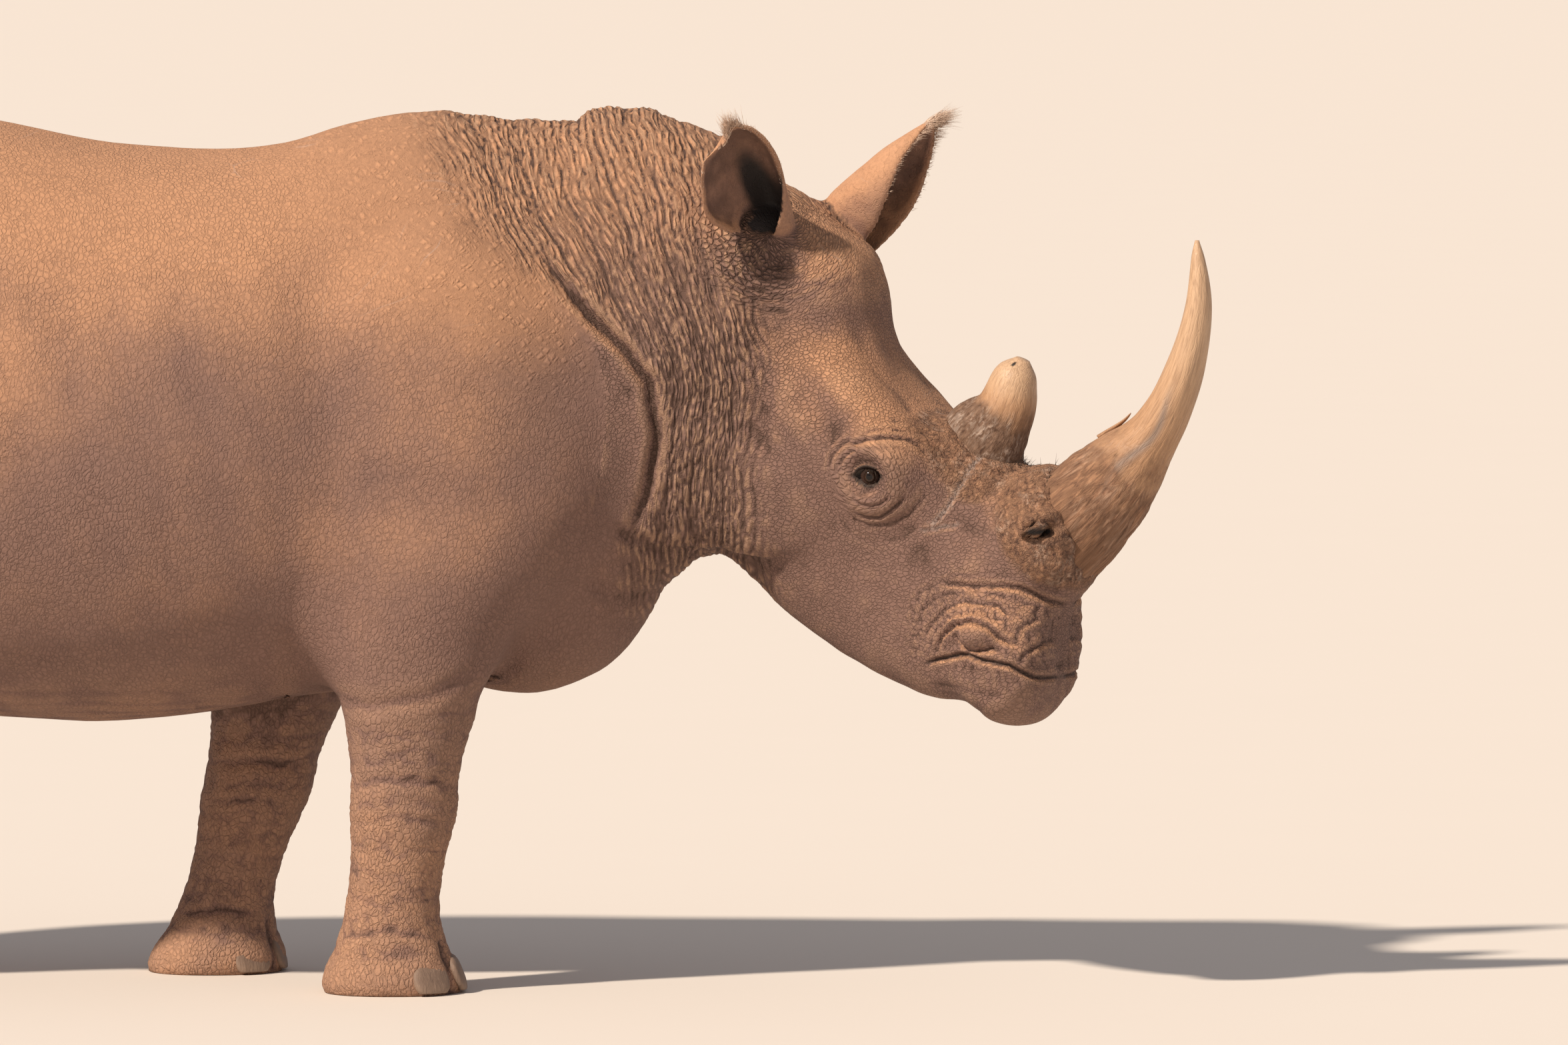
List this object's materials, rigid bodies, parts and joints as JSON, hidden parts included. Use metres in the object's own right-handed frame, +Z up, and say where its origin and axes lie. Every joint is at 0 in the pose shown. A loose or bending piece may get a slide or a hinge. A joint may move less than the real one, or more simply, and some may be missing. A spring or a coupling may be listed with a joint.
{
  "type": "white rhinoceros",
  "caption": "Life-size standing white rhinoceros cow, head lowered and turned to its right, with a long front horn and a short rear horn.",
  "frame": {"origin": "on the floor, under the middle of the whole animal's box", "axes": "+X towards the head, +Y to the animal's left, +Z up"},
  "size_m": [3.3966, 0.9458, 1.7138],
  "materials": {
    "skin": "thick dry wrinkled hide, grey-brown under tan dust, matt",
    "horn": "fibrous keratin, smooth and tan at the tips, rough and brown at the roots",
    "nail": "horny nail, worn and dusty",
    "eye": "wet, dark brown",
    "hair": "coarse dark hair"
  },
  "bodies": {
    "root": {"ear_left": "skin", "ear_right": "skin", "eye_left": "eye", "eye_right": "eye", "foot_fore_left": "skin", "foot_fore_right": "skin", "foot_hind_left": "skin", "foot_hind_right": "skin", "head": "skin", "horn_front": "horn", "horn_rear": "horn", "leg_fore_left": "skin", "leg_fore_right": "skin", "leg_hind_left": "skin", "leg_hind_right": "skin", "lower_jaw": "skin", "nail_fore_left_inner": "nail", "nail_fore_left_middle": "nail", "nail_fore_left_outer": "nail", "nail_fore_right_inner": "nail", "nail_fore_right_middle": "nail", "nail_fore_right_outer": "nail", "nail_hind_left_inner": "nail", "nail_hind_left_middle": "nail", "nail_hind_left_outer": "nail", "nail_hind_right_inner": "nail", "nail_hind_right_middle": "nail", "nail_hind_right_outer": "nail", "neck": "skin", "tail": "skin", "tail_tuft": "hair", "trunk": "skin"}
  },
  "joints": []
}
